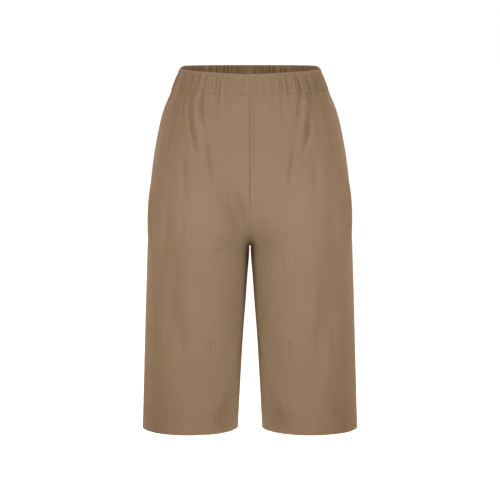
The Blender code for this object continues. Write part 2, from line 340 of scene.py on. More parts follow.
def panel_net(back):
    """The settled net of a left panel, its distances from the centre seam, and its normals."""
    points, distances = smooth_net(HEIGHTS, SHARES, back)
    points = settled(points)
    return points, distances, outward_normals(points, back)


NETS = {back: panel_net(back) for back in (FRONT, BACK)}
for face, back in FACES.items():
    print(f"{face}, centre seam to side seam at the hips: {NETS[back][1][row_at(HIPS), -1]:.3f} m")

# %% [markdown]
# ## Folds that fall from the waist
#
# Where elastic gathers a wider piece of cloth, the spare width falls in soft troughs that grow shallow on
# their way down. A cloth simulation would find some folds of its own, but not these ones in these places,
# so each is listed: one row of a table for each trough or ridge, with its own length, slant, width and
# depth. The two legs never fold quite alike, so each row has a depth for either side, and 0 leaves the
# fold out there. Half widths and depths are in metres, a trough's depth is negative, and places across
# the panel are shares of its width. `deepest` is how far down its length, again as a share, a fold is at
# its full depth.

# %% Tables of folds
FRONT_FOLDS = (
    # top, bottom, across at top, across at bottom, half width, deepest, depth left, depth right
    (-0.018, -0.143, 0.656, 0.524, 0.0044, 0.62, -0.0051, -0.0053),
    (-0.018, -0.140, 0.612, 0.488, 0.0060, 0.15, 0.0030, 0.0034),
    (-0.018, -0.104, 0.580, 0.490, 0.0048, 0.35, -0.0050, -0.0056),
    (-0.095, -0.218, 0.490, 0.362, 0.0062, 0.38, -0.0052, -0.0056),
    (-0.018, -0.150, 0.765, 0.700, 0.0260, 0.25, -0.0074, -0.0080),
    (-0.018, -0.215, 0.800, 0.735, 0.0130, 0.30, -0.0056, -0.0062),
    (-0.120, -0.440, 0.755, 0.810, 0.0200, 0.35, -0.0050, -0.0054),
    (-0.140, -0.330, 0.900, 0.930, 0.0130, 0.55, 0.0056, 0.0056),
    (-0.018, -0.110, 0.735, 0.650, 0.0050, 0.10, -0.0040, -0.0046),
    (-0.120, -0.245, 0.630, 0.575, 0.0080, 0.45, -0.0030, -0.0034),
    (-0.018, -0.085, 0.410, 0.380, 0.0060, 0.20, -0.0034, -0.0028),
    (-0.018, -0.070, 0.290, 0.270, 0.0060, 0.20, -0.0020, -0.0024),
    (-0.130, -0.430, 0.490, 0.460, 0.0420, 0.52, 0.0060, 0.0058),
    (-0.180, -0.640, 0.270, 0.220, 0.0520, 0.30, 0.0070, 0.0070),
    (-0.140, -0.360, 0.650, 0.650, 0.0450, 0.45, 0.0044, 0.0044),
    (-0.150, -0.300, 0.320, -0.020, 0.0180, 0.58, 0.0000, -0.0155),
    (-0.175, -0.300, 0.070, 0.050, 0.0120, 0.60, -0.0050, 0.0000),
    (-0.400, -0.560, 0.590, 0.565, 0.0140, 0.45, -0.0036, -0.0038),
    (-0.280, -0.560, 0.670, 0.650, 0.0250, 0.45, -0.0070, -0.0076),
    (-0.430, -0.560, 0.400, 0.370, 0.0048, 0.36, -0.0013, -0.0013),
    (-0.466, -0.484, 0.388, 0.382, 0.0026, 0.50, -0.0026, -0.0026),
    (-0.430, -0.640, 0.090, 0.290, 0.0230, 0.80, -0.0125, -0.0128),
)
BACK_FOLDS = (
    (-0.018, -0.125, 0.215, 0.195, 0.0070, 0.25, -0.0056, -0.0050),
    (-0.018, -0.160, 0.395, 0.340, 0.0066, 0.40, -0.0078, -0.0086),
    (-0.018, -0.105, 0.545, 0.495, 0.0056, 0.25, -0.0058, -0.0048),
    (-0.018, -0.175, 0.660, 0.575, 0.0064, 0.42, -0.0070, -0.0084),
    (-0.018, -0.140, 0.470, 0.420, 0.0070, 0.20, 0.0030, 0.0026),
    (-0.018, -0.210, 0.800, 0.735, 0.0200, 0.25, -0.0064, -0.0060),
    (-0.110, -0.225, 0.300, 0.335, 0.0066, 0.45, -0.0030, -0.0040),
    (-0.130, -0.300, 0.560, 0.500, 0.0110, 0.45, -0.0036, -0.0030),
    (-0.140, -0.420, 0.740, 0.800, 0.0170, 0.40, -0.0058, -0.0050),
    (-0.150, -0.420, 0.450, 0.430, 0.0440, 0.50, 0.0060, 0.0064),
    (-0.200, -0.330, 0.330, 0.060, 0.0180, 0.60, -0.0080, -0.0052),
    (-0.290, -0.430, 0.080, 0.330, 0.0130, 0.40, -0.0040, -0.0048),
    (-0.310, -0.580, 0.360, 0.440, 0.0140, 0.40, -0.0040, -0.0034),
    (-0.380, -0.640, 0.680, 0.640, 0.0230, 0.60, 0.0026, 0.0024),
    (-0.440, -0.600, 0.560, 0.590, 0.0100, 0.50, -0.0030, -0.0024),
    (-0.480, -0.640, 0.130, 0.290, 0.0170, 0.80, -0.0076, -0.0084),
)
FOLDS = {FRONT: FRONT_FOLDS, BACK: BACK_FOLDS}
SEAM_CALM = 0.022  # folds fade out over this distance from a centre or side seam
AT_WAIST = 0.5  # share of its depth that a fold from the waist has at the seam itself


def bell(distance, half_width):
    """1 in the middle, falling away smoothly on both sides."""
    return np.exp(-((distance / half_width) ** 2))


def fold_depths(heights, shares, distances, back, side):
    """Sum of the folds all over a panel, in metres outward."""
    total = np.zeros(distances.shape)
    for top, bottom, across_top, across_bottom, half_width, deepest, left, right in FOLDS[back]:
        depth = left if side == LEFT else right
        for row, height in enumerate(heights):
            if not bottom < height <= top:
                continue
            down = (top - height) / (top - bottom)
            middle = np.interp(across_top + (across_bottom - across_top) * down, shares, distances[row])
            from_top = AT_WAIST if top == WAIST_SEAM else 0.0
            rise = from_top + (1.0 - from_top) * smooth_step(down / deepest)
            along = rise * smooth_step((1.0 - down) / (1.0 - deepest))
            total[row] += depth * along * bell(distances[row] - middle, half_width)
    return total


def seam_calm(distances, reach):
    """0 on the centre and side seams, rising to 1 over the reach."""
    from_side = distances[..., -1:] - distances
    return smooth_step(distances / reach) * smooth_step(from_side / reach)


for face, back in FACES.items():
    counts = [sum(row[side] != 0.0 for row in FOLDS[back]) for side in (-2, -1)]
    print(f"folds in the {face}, left and right: {counts}")

# %% [markdown]
# ## Puckers along the elastic
#
# The elastic draws the cloth into small upright puckers, 5 to 17 mm apart and never quite regular.
# A plain sine wave would look like corrugated iron, so its turns drift: a slow wave moves each pucker a
# little to one side, and another makes some deeper than others. The band is almost smooth at the centre
# front and tightest towards the sides.

# %% Puckers of the waist
PUCKERS = {
    # puckers from centre seam to side seam, metres deep, drift in radians, start in radians
    FRONT: ((12.0, 0.00130, 2.2, 0.4), (21.0, 0.00115, 3.1, 1.9), (34.0, 0.00085, 4.0, 0.7)),
    BACK: ((13.0, 0.00070, 2.0, 1.1), (19.0, 0.00140, 1.1, 1.6), (38.0, 0.00060, 4.0, 0.2)),
}
DRIFT_WAVES = ((4.3, 1.0), (9.7, 0.5))  # radians over the panel's width, and how much each counts
SWELL_WAVE = (7.9, 0.45)  # the same for the wave that makes some deeper than others
SIDES_APART = 0.6  # radians by which that wave is shifted, one way on the left and the other on the right
CENTRE_DEPTH = 0.25  # share of the depth that is left at the centre front
CENTRE_WIDTH = 0.24  # as far out as this share of the width
CENTRE_FADE = 0.36  # and over this share of it the depth comes back
PUCKER_REACH = 0.040  # metres down the panel where about a quarter of the depth is left
PUCKER_FADE = 1.3
REACH_WAVE = (11.0, 0.6)  # some reach further down than others


def pucker_depths(shares, back, side):
    """Puckers along the waist seam, in metres outward."""
    total = np.zeros(len(shares))
    (slow, much), (quick, less) = DRIFT_WAVES
    swelling, more = SWELL_WAVE
    for count, depth, drift, start in PUCKERS[back]:
        wander = much * np.sin(slow * shares + start + side) + less * np.sin(quick * shares + 2 * start)
        swell = 1.0 + more * np.sin(swelling * shares + 3 * start + SIDES_APART * side)
        total += depth * swell * np.sin(2 * math.pi * count * shares + drift * wander)
    from_centre = smooth_step((shares - CENTRE_WIDTH) / CENTRE_FADE)
    return total * (1.0 if back else CENTRE_DEPTH + (1.0 - CENTRE_DEPTH) * from_centre)


def panel_puckers(heights, shares, back, side):
    """The puckers all over a panel, deepest at the waist seam and nearly gone 10 cm below it."""
    at_seam = pucker_depths(shares, back, side)
    turns, more = REACH_WAVE
    reach = PUCKER_REACH * (1.0 + more * np.sin(turns * shares + side))
    below = (WAIST_SEAM - heights)[:, None] / reach[None, :]
    return at_seam[None, :] * np.exp(-PUCKER_FADE * np.maximum(below, 0.0))


for face, back in FACES.items():
    most = np.abs(pucker_depths(SHARES, back, LEFT)).max()
    print(f"{face}: puckers stand out or in by up to {most * 1000:.1f} mm")

# %% [markdown]
# ## Seams, hem and the unevenness of linen
#
# Three small things tell the eye that this is sewn linen. Each seam sinks, because both edges are turned
# in, with a low welt beside it where the turned edges lie. The hem is folded up and stitched, which
# draws short puckers along the stitch line. And linen that has been washed is never dead flat: broad,
# shallow waves run mostly along the legs. The waves come from a small table of random values with a
# fixed seed, so they are the same each run.

# %% Small relief of a panel
SEAM_SINK = 0.0009
SEAM_SINK_WIDTH = 0.0014
CROTCH_SINK = 0.3  # share by which the seams sink deeper from SEAM_DEEPENS down
SEAM_DEEPENS = -0.180
SEAM_DEEPENS_OVER = 0.06
WELT = 0.00045  # the pressed seam allowance lies about 5 mm from the seam
WELT_PLACE = 0.0050
WELT_WIDTH = 0.0030
HEM_STITCH = HEM + HEM_DEPTH
HEM_SINK = 0.00035
HEM_SINK_WIDTH = 0.0018
HEM_PUCKER = 0.00095
HEM_PUCKER_PITCH = 0.0078
HEM_PUCKER_REACH = 0.016
REACH_BELOW = 0.7  # the puckers are this much shorter under the stitches
HEM_DRIFT = ((1.7, 0.021), (1.1, 0.009))  # how far they drift, in radians, and over what length
HEM_SWELL = (0.4, 0.017)  # share of their depth that comes and goes, and over what length
HEM_ROLL = 0.0009  # the hem's edge is rounded off
HEM_ROLL_REACH = 0.0008
ALLOWANCE = 0.00055  # beside the centre front seam both edges are turned to the wearer's left
ALLOWANCE_WIDTH = 0.0112
ALLOWANCE_EDGE = 0.0016
ALLOWANCE_STITCH = 0.0063
ALLOWANCE_DIP = 0.0008
ALLOWANCE_DIP_WIDTH = 0.0013
LATTICE = 64  # random values each way; the noise repeats after as many
WAVE_SLANT = 0.13  # the waves move this share of a metre sideways in each metre down
WAVES = (
    # metres across, metres along, depth in metres
    (0.050, 0.160, 0.0011),
    (0.022, 0.070, 0.0005),
    (0.009, 0.032, 0.00018),
)


def seam_relief(distances):
    """The sunken seams at both edges of a panel, and the welts beside them."""
    relief = np.zeros(distances.shape)
    deeper = 1.0 + CROTCH_SINK * smooth_step((SEAM_DEEPENS - HEIGHTS) / SEAM_DEEPENS_OVER)[:, None]
    for from_seam in (distances, distances[:, -1:] - distances):
        relief -= SEAM_SINK * deeper * bell(from_seam, SEAM_SINK_WIDTH)
        relief += WELT * bell(from_seam - WELT_PLACE, WELT_WIDTH)
    return relief


def allowance_relief(distances):
    """The strip of turned edges beside the centre front seam, drawn down by the stitches in it."""
    strip = ALLOWANCE * smooth_step((ALLOWANCE_WIDTH - distances) / ALLOWANCE_EDGE)
    return strip - ALLOWANCE_DIP * bell(distances - ALLOWANCE_STITCH, ALLOWANCE_DIP_WIDTH)


def hem_relief(heights, distances, side):
    """The stitched hem: a sunken line, short puckers round it and a rolled lower edge."""
    from_stitch = (heights - HEM_STITCH)[:, None]
    sink = -HEM_SINK * bell(from_stitch, HEM_SINK_WIDTH)
    (far, long), (near, short) = HEM_DRIFT
    turns = 2 * math.pi * distances / HEM_PUCKER_PITCH
    turns = turns + far * np.sin(distances / long + side) + near * np.sin(distances / short)
    part, length = HEM_SWELL
    swell = 1.0 - part + part * np.sin(distances / length + 2.0 * side)
    reach = HEM_PUCKER_REACH * np.where(from_stitch > 0.0, 1.0, REACH_BELOW)
    puckers = HEM_PUCKER * swell * np.sin(turns) * bell(from_stitch, reach)
    roll = -HEM_ROLL * np.exp(-(heights - HEM)[:, None] / HEM_ROLL_REACH)
    return sink + puckers + roll


def soft_noise(across, along, seed):
    """Smooth noise from -1 to 1: random values on a lattice, with an eased blend between them."""
    lattice = np.random.default_rng(seed).uniform(-1.0, 1.0, (LATTICE, LATTICE))
    column, row = np.floor(across).astype(int), np.floor(along).astype(int)
    right, down = smooth_step(across - column), smooth_step(along - row)

    def blended(row):
        here = lattice[row % LATTICE, column % LATTICE]
        beside = lattice[row % LATTICE, (column + 1) % LATTICE]
        return here * (1 - right) + beside * right

    return blended(row) * (1 - down) + blended(row + 1) * down


def linen_waves(distances, heights, seed):
    """Broad shallow waves, longer down the leg than across it."""
    total = np.zeros(distances.shape)
    for number, (across, along, depth) in enumerate(WAVES):
        slant = distances / across + WAVE_SLANT * heights[:, None] / across
        total += depth * soft_noise(slant, -heights[:, None] / along, seed + number)
    return total


print("stitch line of the hem at height", round(HEM_STITCH, 3))

# %% [markdown]
# ## From the net to a piece of cloth
#
# All the relief is added up and pushes the net out or in along its normals. The result is one sheet of
# quads, and Blender's Solidify modifier gives it the thickness of the cloth, more along the hem, where
# it lies double. The sheet also gets a UV map measured in metres, with the warp running straight down
# the crease line as a cutter lays it, so that the weave can be drawn to its real size later.

# %% Build a sheet of cloth
CLOTH_THICKNESS = 0.0010
HEM_THICKNESS = 0.0022
TOP_TUCK = 0.0005  # the panel's top edge is drawn in under the waistband


def place_in_scene(name, data):
    """A new object for a mesh, a light or a camera."""
    thing = bpy.data.objects.new(name, data)
    bpy.context.scene.collection.objects.link(thing)
    return thing


def sheet_mesh(name, points, cloth_map, closed_rows=False):
    """A mesh of quads from a net of points, with its UV map in metres."""
    rows, columns = points.shape[:2]
    index = np.arange(rows * columns).reshape(rows, columns)
    if closed_rows:
        index = np.concatenate([index, index[:1]])
    corners = [index[:-1, :-1], index[1:, :-1], index[1:, 1:], index[:-1, 1:]]
    faces = np.stack(corners, axis=-1).reshape(-1, 4)
    mesh = bpy.data.meshes.new(name)
    mesh.from_pydata(points.reshape(-1, 3).tolist(), [], faces.tolist())
    layer = mesh.uv_layers.new(name="cloth")
    flat = cloth_map.reshape(-1, 2)[faces.reshape(-1)]
    layer.data.foreach_set("uv", flat.astype(np.float32).reshape(-1))
    mesh.shade_smooth()
    return place_in_scene(name, mesh)


def face_outward(piece, middle):
    """Turn the faces round if the quad halfway through the sheet looks towards the middle."""
    face = piece.data.polygons[len(piece.data.polygons) // 2]
    if face.normal.dot(face.center - Vector(middle)) < 0:
        piece.data.flip_normals()


def thicken(piece, thickness, share_of):
    """Give the sheet its thickness inward; share_of holds each point's share of it."""
    solid = piece.modifiers.new("cloth thickness", "SOLIDIFY")
    solid.thickness = thickness
    solid.offset = -1.0
    solid.material_offset = 1  # the wrong side of the cloth takes the second material
    group = piece.vertex_groups.new(name="cloth layers")
    for share in np.unique(share_of):
        group.add(np.flatnonzero(share_of == share).tolist(), float(share), "REPLACE")
    solid.vertex_group = group.name


print("cloth", CLOTH_THICKNESS * 1000, "mm thick")

# %% [markdown]
# ## The four panels
#
# Left and right are cut as mirror images, but each gets its own depths of folds, puckers and waves. The
# front and back of one side share the seam line, so nothing shows between them.

# %% Make the panels
MIRROR = np.array([-1.0, 1.0, 1.0])
LEG_MIDDLE = 0.09
WAVE_SEED = 40
TUCK_REACH = 0.0016  # metres below the waist seam over which the cloth comes out from under the band
WAVES_START = 0.03  # and over which the waves begin
ALLOWANCE_ENDS = CROTCH + 0.03
ALLOWANCE_FADE = 0.02
NAMES = {(back, side): f"{face}_{hand}" for face, back in FACES.items() for hand, side in HANDS.items()}


def from_crease(back):
    """How far across each point of a net is from the panel's crease line."""
    distances = NETS[back][1]
    middle = len(SHARES) // 2
    return distances - distances[:, middle : middle + 1]


def panel_relief(back, side):
    """Everything that pushes the cloth of a panel out or in, in metres."""
    distances = NETS[back][1]
    folds = fold_depths(HEIGHTS, SHARES, distances, back, side)
    puckers = panel_puckers(HEIGHTS, SHARES, back, side)
    waves = linen_waves(from_crease(back), HEIGHTS, WAVE_SEED + 10 * back + int(side))
    below_waist = (WAIST_SEAM - HEIGHTS)[:, None]
    begin = smooth_step(below_waist / WAVES_START)
    calm = seam_calm(distances, SEAM_CALM)
    drape = (folds + puckers + waves * begin) * calm
    seams = seam_relief(distances)
    if side == LEFT and not back:
        above_crotch = smooth_step((HEIGHTS - ALLOWANCE_ENDS) / ALLOWANCE_FADE)[:, None]
        seams = seams + allowance_relief(distances) * above_crotch * begin
    tuck = -TOP_TUCK * np.exp(-below_waist / TUCK_REACH)
    return drape + seams + hem_relief(HEIGHTS, distances, side) * calm + tuck


def panel_surface(back, side):
    """The finished net of a panel and its normals, which stay level or in the plane of a seam there."""
    points, _, normals = NETS[back]
    normals = normals.copy()
    normals[0, :, 2] = 0.0
    normals[-1, :, 2] = 0.0
    above = HEIGHTS > CROTCH
    normals[above, 0, 0] = 0.0
    normals[~above, 0, 1] = 0.0
    normals /= np.linalg.norm(normals, axis=2, keepdims=True)
    surface = points + normals * panel_relief(back, side)[:, :, None]
    if side == RIGHT:
        surface, normals = surface * MIRROR, normals * MIRROR
    return surface, normals


def make_panel(back, side):
    """A panel as a piece of cloth that takes the place of its solid."""
    name = NAMES[back, side]
    surface, _ = panel_surface(back, side)
    down = np.repeat(WAIST_SEAM - HEIGHTS[:, None], len(SHARES), axis=1)
    piece = sheet_mesh("linen_" + name, surface, np.stack([from_crease(back), down], axis=2))
    face_outward(piece, (side * LEG_MIDDLE, 0.0, HEIGHTS[len(HEIGHTS) // 2]))
    hem = np.repeat((HEIGHTS < HEM_STITCH)[:, None], len(SHARES), axis=1).reshape(-1)
    thicken(piece, HEM_THICKNESS, np.where(hem, 1.0, CLOTH_THICKNESS / HEM_THICKNESS))
    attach(piece, "root")
    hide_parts(name)
    return piece


panels = {key: make_panel(*key) for key in NAMES}
for piece in panels.values():
    print(piece.name, "has", len(piece.data.polygons), "faces before it is thickened")

# %% [markdown]
# ## The waistband
#
# The band is a casing: a strip of linen folded over the elastic and stitched twice, 9 mm under its top
# edge and just above the seam. Its section is a table of heights, with how far the cloth stands out from
# the seam line there and how much of the puckers it shows: little on the two stitch lines, most between
# them, and less on the inside. Carrying that section round the waist gives the whole band at once.

# %% Make the waistband
BAND_SECTION = (
    # height, out, share of the puckers
    (-0.0196, -0.0012, 1.00),
    (-0.0195, -0.0003, 1.00),
    (-0.0190, 0.0002, 1.00),
    (-0.0180, 0.0005, 1.00),
    (-0.0164, 0.0005, 0.95),
    (-0.0148, 0.0001, 0.80),
    (-0.0136, 0.0002, 0.90),
    (-0.0110, 0.0002, 1.05),
    (-0.0060, -0.0001, 1.15),
    (0.0000, -0.0003, 1.15),
    (0.0050, -0.0004, 1.05),
    (0.0080, -0.0006, 0.85),
    (0.0094, -0.0010, 0.70),
    (0.0108, -0.0005, 0.70),
    (0.0135, 0.0000, 0.65),
    (0.0160, -0.0002, 0.50),
    (0.0175, -0.0008, 0.40),
    (0.0180, -0.0016, 0.40),
    (0.0175, -0.0024, 0.48),
    (0.0160, -0.0031, 0.60),
    (0.0135, -0.0033, 0.72),
    (0.0108, -0.0031, 0.78),
    (0.0094, -0.0027, 0.80),
    (0.0080, -0.0031, 0.85),
    (0.0050, -0.0034, 0.92),
    (0.0000, -0.0036, 0.95),
    (-0.0060, -0.0035, 0.95),
    (-0.0110, -0.0033, 0.92),
    (-0.0136, -0.0031, 0.90),
    (-0.0148, -0.0027, 0.88),
    (-0.0162, -0.0029, 0.90),
    (-0.0182, -0.0028, 0.95),
)
BAND_COLUMNS = 220
BAND_CALM = 0.010  # puckers fade out over this distance from a centre or a side seam
FOLDS_TAKEN = 0.80  # share of a fold's depth that the elastic takes up by the top edge
INSIDE = -0.0020  # rows of the section that lie further in than this are the wrong side


def band_half(back, side):
    """Points and level outward normals of a quarter of the band, from its centre to its side seam."""
    shares = np.linspace(0.0, 1.0, BAND_COLUMNS)
    points = np.zeros((len(BAND_SECTION), BAND_COLUMNS, 3))
    normals = np.zeros_like(points)
    distances = np.zeros(points.shape[:2])
    for row, (height, out, pucker_share) in enumerate(BAND_SECTION):
        x, y, distances[row] = cut_section(height, shares, back)
        z = height + edge_lift(shares, height, back)
        facing = 1.0 if back else -1.0
        normal = np.stack([-facing * np.gradient(y), facing * np.gradient(x), 0.0 * x], axis=1)
        normal[0, 0] = 0.0
        normal /= np.linalg.norm(normal, axis=1, keepdims=True)
        above = (height - WAIST_SEAM) / (WAIST_TOP - WAIST_SEAM)
        at_seam = fold_depths(np.array([WAIST_SEAM]), shares, distances[row : row + 1], back, side)[0]
        relief = at_seam * (1.0 - FOLDS_TAKEN * smooth_step(above)) * seam_calm(distances[row], SEAM_CALM)
        puckers = pucker_share * pucker_depths(shares, back, side)
        relief = relief + puckers * seam_calm(distances[row], BAND_CALM)
        relief = relief - SEAM_SINK * bell(distances[row, -1] - distances[row], SEAM_SINK_WIDTH)
        points[row] = np.stack([x, y, z], axis=1) + normal * (out + relief)[:, None]
        normals[row] = normal
    if side == RIGHT:
        points, normals = points * MIRROR, normals * MIRROR
    return points, normals, side * distances


def band_net(back):
    """The whole of one half of the band, from the right side seam to the left one."""
    halves = [band_half(back, side) for side in (RIGHT, LEFT)]
    return [np.concatenate([right[:, :0:-1], left], axis=1) for right, left in zip(*halves)]


def make_band(face, back):
    """Half of the waistband as a casing that takes the place of its solid, with its net."""
    name = "waistband_" + face
    points, normals, distances = band_net(back)
    down = np.repeat(distances_along(points[:, 0])[:, None], points.shape[1], axis=1)
    piece = sheet_mesh("linen_" + name, points, np.stack([distances, down], axis=2), closed_rows=True)
    face_outward(piece, (0.0, 0.0, 0.0))
    sides = [int(out < INSIDE) for _, out, _ in BAND_SECTION]
    piece.data.polygons.foreach_set("material_index", np.repeat(sides, points.shape[1] - 1))
    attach(piece, "root")
    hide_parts(name)
    return piece, points, normals


bands = {face: make_band(face, back) for face, back in FACES.items()}
print("waistband:", [piece.name for piece, _, _ in bands.values()])

# %% [markdown]
# ## Stitches
#
# A row of lockstitches is what holds each edge down, and its thread shows as short dashes with their
# ends drawn into the cloth. A texture could fake them, but a line of real little rods catches the light
# as thread does. Each rod is a five-sided capsule, some 3 mm from the next, and one function lays them
# along any line on the cloth.

# %% Lay stitches along a line
STITCH_PITCH = 0.0033
STITCH_LENGTH = 0.0027
THREAD_RADIUS = 0.00030  # twice as thick as real thread, which would be too fine to show
THREAD_STANDS_OUT = 0.6  # share of its radius by which the thread's middle stands above the cloth
STITCH_SIDES = 5
FIRST_STITCH = WAIST_SEAM - 0.002  # where a line down a panel starts
STITCH_STATIONS = (
    # along, depth below the surface, share of the radius
    (-0.50, 0.00045, 0.60),
    (-0.36, 0.00005, 1.00),
    (0.36, 0.00005, 1.00),
    (0.50, 0.00045, 0.60),
)


def along_line(points, normals, pitch):
    """Places and directions a pitch apart along a line of points, with the cloth's normals there."""
    along = distances_along(points)
    wanted = np.arange(pitch / 2, along[-1], pitch)
    place = places_on(points, along, wanted)
    ahead = places_on(points, along, wanted + pitch / 4)
    return place, ahead - place, places_on(normals, along, wanted)


def stitch_line(name, points, normals):
    """One object with a rod for each stitch along the line."""
    vertices, faces = [], []
    turns = np.linspace(0.0, 2 * math.pi, STITCH_SIDES, endpoint=False)
    for place, ahead, normal in zip(*along_line(points, normals, STITCH_PITCH)):
        along = ahead / np.linalg.norm(ahead)
        across = np.cross(along, normal)
        across /= np.linalg.norm(across)
        up = np.cross(across, along)
        base = len(vertices)
        for share, depth, size in STITCH_STATIONS:
            height = THREAD_RADIUS * THREAD_STANDS_OUT - depth
            centre = place + along * STITCH_LENGTH * share + up * height
            for turn in turns:
                ring = math.cos(turn) * across + math.sin(turn) * up
                vertices.append(centre + ring * THREAD_RADIUS * size)
        last = (len(STITCH_STATIONS) - 1) * STITCH_SIDES
        for station in range(len(STITCH_STATIONS) - 1):
            for corner in range(STITCH_SIDES):
                here = base + station * STITCH_SIDES + corner
                there = base + station * STITCH_SIDES + (corner + 1) % STITCH_SIDES
                faces.append((here, there, there + STITCH_SIDES, here + STITCH_SIDES))
        faces.append(tuple(base + corner for corner in reversed(range(STITCH_SIDES))))
        faces.append(tuple(base + last + corner for corner in range(STITCH_SIDES)))
    mesh = bpy.data.meshes.new(name)
    mesh.from_pydata([tuple(vertex) for vertex in vertices], [], faces)
    mesh.shade_smooth()
    line = place_in_scene(name, mesh)
    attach(line, "root")
    return line


def across_panel(net, height):
    """The line across a panel at one height."""
    surface, normals = net
    return surface[row_at(height)], normals[row_at(height)]


def down_panel(net, back, distance, lowest):
    """The line down a panel at a distance from its centre seam."""
    rows = np.flatnonzero((HEIGHTS > lowest) & (HEIGHTS < FIRST_STITCH))
    distances = NETS[back][1]
    return [np.concatenate([places_on(grid[row], distances[row], [distance]) for row in rows])
            for grid in net]


print("a metre of stitching has", round(1 / STITCH_PITCH), "stitches")

# %% [markdown]
# ## Which seams are stitched on the outside
#
# The band has a line near each edge, outside and inside. Each hem has one line. Beside the centre front
# seam, on the wearer's left, one line holds the seam allowance flat from the band down towards the
# crotch, and so it does at the back.

# %% Sew the lines
BAND_LINES = {"lower": -0.0148, "upper": 0.0094}  # heights of the two stitch lines in BAND_SECTION
CENTRE_LINES = {
    # name: back or front, metres from the seam, lowest point
    "centre_front": (FRONT, ALLOWANCE_STITCH, -0.262),
    "centre_back": (BACK, 0.0025, -0.262),
}
stitches = []
for (back, side), name in NAMES.items():
    line = across_panel(panel_surface(back, side), HEM_STITCH)
    stitches.append((stitch_line("stitches_hem_" + name, *line), "linen_panels"))
for name, (back, distance, lowest) in CENTRE_LINES.items():
    line = down_panel(panel_surface(back, LEFT), back, distance, lowest)
    stitches.append((stitch_line("stitches_" + name, *line), "linen_panels"))
for face, (_, points, normals) in bands.items():
    for place, height in BAND_LINES.items():
        rows = [row for row, values in enumerate(BAND_SECTION) if values[0] == height]
        for row, skin, turned in zip(rows, ("outside", "inside"), (1.0, -1.0)):
            name = f"stitches_{face}_{place}_{skin}"
            line = stitch_line(name, points[row], turned * normals[row])
            stitches.append((line, "linen_waistband"))
print(len(stitches), "lines of stitching")

# %% [markdown]
# ## Helpers for colours and nodes
#
# Colours are easiest to pick as sRGB hex values, but Blender calculates in linear light, so one function
# converts them. Another adds a node, sets it and links its inputs, so that each material reads as a list.

# %% Colour and node helpers


def linear(hex_colour):
    """An sRGB hex value as linear red, green, blue and alpha."""
    parts = [int(hex_colour[i : i + 2], 16) / 255 for i in (1, 3, 5)]
    return [c / 12.92 if c <= 0.04045 else ((c + 0.055) / 1.055) ** 2.4 for c in parts] + [1.0]


def set_inputs(tree, node, inputs):
    """Give each socket its value, or a link where the value is another node's output."""
    for socket, value in inputs.items():
        if isinstance(value, bpy.types.NodeSocket):
            tree.links.new(value, node.inputs[socket])
        else:
            node.inputs[socket].default_value = value


def add_node(tree, kind, inputs, **settings):
    """A new node with its settings and inputs."""
    node = tree.nodes.new(kind)
    for key, value in settings.items():
        setattr(node, key, value)
    set_inputs(tree, node, inputs)
    return node


def new_material(name):
    """A material with the node tree and the shader that it starts with."""
    material = bpy.data.materials.new(name)
    material.use_nodes = True
    return material, material.node_tree, material.node_tree.nodes["Principled BSDF"]


CAMEL_DARK, CAMEL_LIGHT = "#8f7d62", "#98846a"
print("camel in linear light:", [round(c, 3) for c in linear(CAMEL_DARK)])

# %% [markdown]
# ## Linen
#
# Linen is spun from flax, and its yarn is never even: thick places, called slubs, run as fine streaks
# along the warp and, fewer, along the weft. In plain weave each thread goes over one and under one. The
# cloth is matt, because the fibres are rough and scatter light, with a faint bloom at grazing angles.
# There are about 12 threads to the centimetre. At that size they only give the surface its tooth, and the
# streaks are drawn a few threads wide so that they show from a few metres away. The wrong side takes a
# slightly browner copy of the linen: painted warm shade for the inside of the band, which only shows in
# shade.

# %% Linen material
THREAD_SPACING = 0.00085
WARP_STREAK = (0.0035, 0.070)  # metres wide, metres long
WEFT_STREAK = (0.045, 0.0026)
DYE_PATCH = 0.060
WEFT_SHARE = 0.35  # how much of the streaks is weft
DYE_SHARE = 0.30  # how much of the tone is uneven dye
TONE_RANGE = (0.32, 0.68)  # noise seldom leaves this range, which is spread from dark to light
# painted shade between the threads and a painted highlight on top of them, as shares of the colour
WEAVE_PAINTED_SHADING = (0.86, 1.05)  # brightness between the threads and on top of them
WEAVE_HEIGHT = 0.00012
STREAK_HEIGHT = 0.00012
RELIEF_STRENGTH = 0.5
LINEN_ROUGHNESS = 0.86  # rough fibres: no highlight, only a soft falling off
LINEN_IOR = 1.5
LINEN_SPECULAR = 0.10  # the fibres shade each other, so little is reflected
BLOOM = 0.02
BLOOM_COLOUR = "#b08d68"
BLOOM_ROUGHNESS = 0.45


def noise_on(tree, cloth, across, along, detail):
    """Noise stretched over the cloth, one patch being across by along metres."""
    scale = (1.0 / across, 1.0 / along, 1.0)
    spread = add_node(tree, "ShaderNodeMapping", {"Vector": cloth, "Scale": scale})
    spot = {"Vector": spread.outputs["Vector"], "Scale": 1.0, "Detail": detail}
    return add_node(tree, "ShaderNodeTexNoise", spot).outputs["Fac"]


def plain_weave(tree, cloth):
    """Height of the threads from 0 to 1: rounded warp threads and weft threads by turns on top."""
    threads = add_node(tree, "ShaderNodeVectorMath", {0: cloth, "Scale": 1.0 / THREAD_SPACING},
                       operation="SCALE").outputs["Vector"]
    apart = add_node(tree, "ShaderNodeSeparateXYZ", {0: threads})
    rounded = []
    for axis in ("X", "Y"):
        half_turns = add_node(tree, "ShaderNodeMath", {0: apart.outputs[axis], 1: math.pi},
                              operation="MULTIPLY").outputs[0]
        wave = add_node(tree, "ShaderNodeMath", {0: half_turns}, operation="SINE").outputs[0]
        rounded.append(add_node(tree, "ShaderNodeMath", {0: wave}, operation="ABSOLUTE").outputs[0])
    on_top = add_node(tree, "ShaderNodeTexChecker", {"Vector": threads, "Scale": 1.0}).outputs["Fac"]
    return add_node(tree, "ShaderNodeMix", {0: on_top, 2: rounded[1], 3: rounded[0]}).outputs[0]


